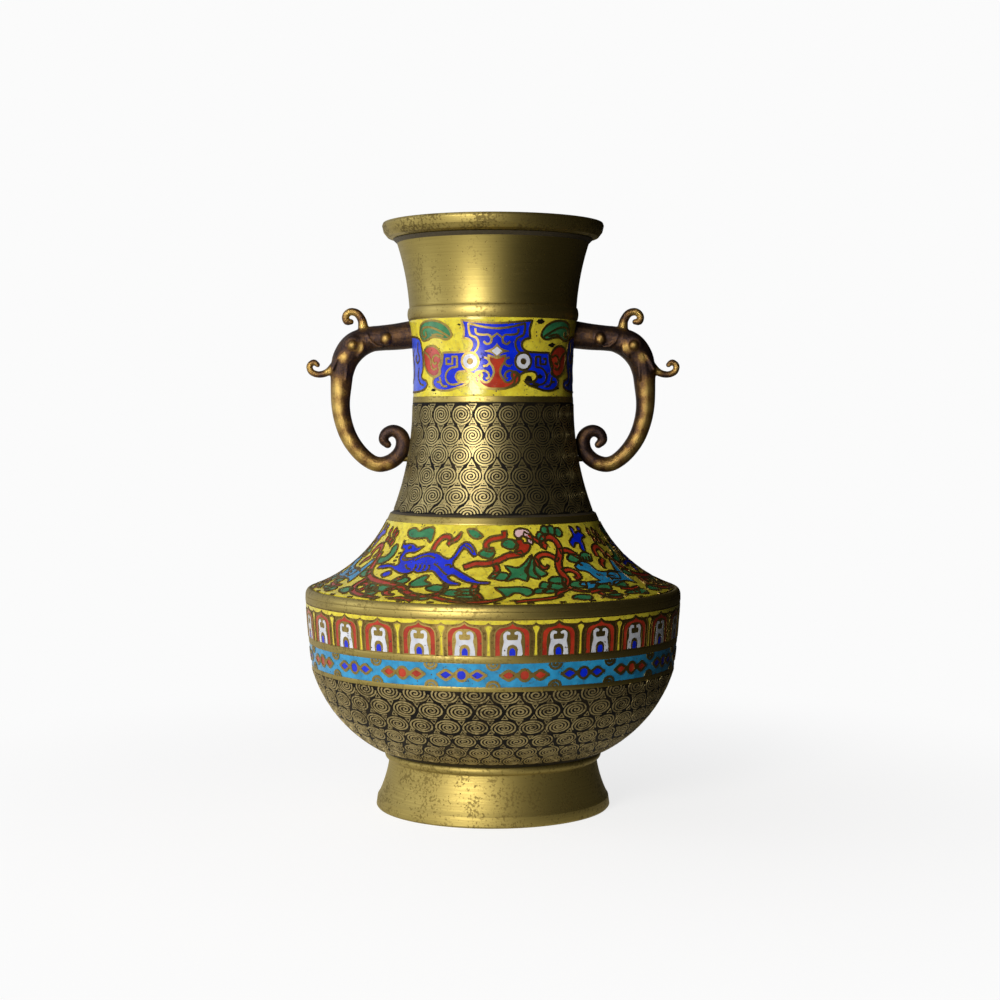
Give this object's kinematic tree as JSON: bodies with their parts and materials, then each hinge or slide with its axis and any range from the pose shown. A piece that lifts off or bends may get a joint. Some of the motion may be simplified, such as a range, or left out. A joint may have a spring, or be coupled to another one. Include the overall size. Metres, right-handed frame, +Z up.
{
  "type": "two-handled champleve vase",
  "caption": "Tall cast-brass vase with a flared mouth, wide shoulder, bands of champleve enamel, spiral-cast neck and bowl, and a pair of beast-head scroll handles.",
  "frame": {"origin": "centre of the foot's resting plane", "axes": "+Z up along the vase's axis, +X across the two handles, the front mask faces -Y"},
  "size_m": [0.1942, 0.1934, 0.3],
  "materials": {
    "polished_brass": "cast brass, rubbed bright, with brown age in the hollows",
    "aged_brass": "cast brass left dull and brown",
    "spiral_brass": "cast brass with raised spirals rubbed bright over a black ground",
    "patinated_brass": "dark brown patina worn golden on the proud curves",
    "solder": "soft solder, grey and rough",
    "yellow_enamel": "opaque yellow vitreous enamel, glossy with pits",
    "cobalt_enamel": "opaque cobalt vitreous enamel, glossy with pits",
    "red_enamel": "opaque brick-red vitreous enamel, glossy with pits",
    "green_enamel": "opaque green vitreous enamel, glossy with pits",
    "turquoise_enamel": "opaque turquoise vitreous enamel, glossy with pits",
    "white_enamel": "opaque white vitreous enamel, glossy with pits"
  },
  "bodies": {
    "root": {"foot_ring": "polished_brass", "base_plate": "aged_brass", "bowl_casting": "spiral_brass", "drum_casting": "polished_brass", "shoulder_casting": "polished_brass", "neck_casting": "spiral_brass", "collar_ring": "polished_brass", "mouth_cup": "polished_brass", "lip_ring": "polished_brass", "handle_left": "patinated_brass", "handle_right": "patinated_brass", "handle_rivets": "aged_brass", "base_solder": "solder", "neck_solder": "solder", "lip_solder": "solder", "belt_ground_enamel": "turquoise_enamel", "belt_motifs_red": "red_enamel", "belt_motifs_blue": "cobalt_enamel", "lappet_ground_enamel": "yellow_enamel", "lappet_arches_red": "red_enamel", "lappet_figures_white": "white_enamel", "lappet_doors_blue": "cobalt_enamel", "shoulder_ground_enamel": "yellow_enamel", "shoulder_beasts_blue": "cobalt_enamel", "shoulder_beasts_turquoise": "turquoise_enamel", "shoulder_vines_red": "red_enamel", "shoulder_leaves_green": "green_enamel", "neck_ground_enamel": "yellow_enamel", "neck_masks_blue": "cobalt_enamel", "neck_masks_red": "red_enamel", "neck_masks_white": "white_enamel", "neck_horns_green": "green_enamel", "neck_pendants_blue": "cobalt_enamel"}
  },
  "joints": []
}
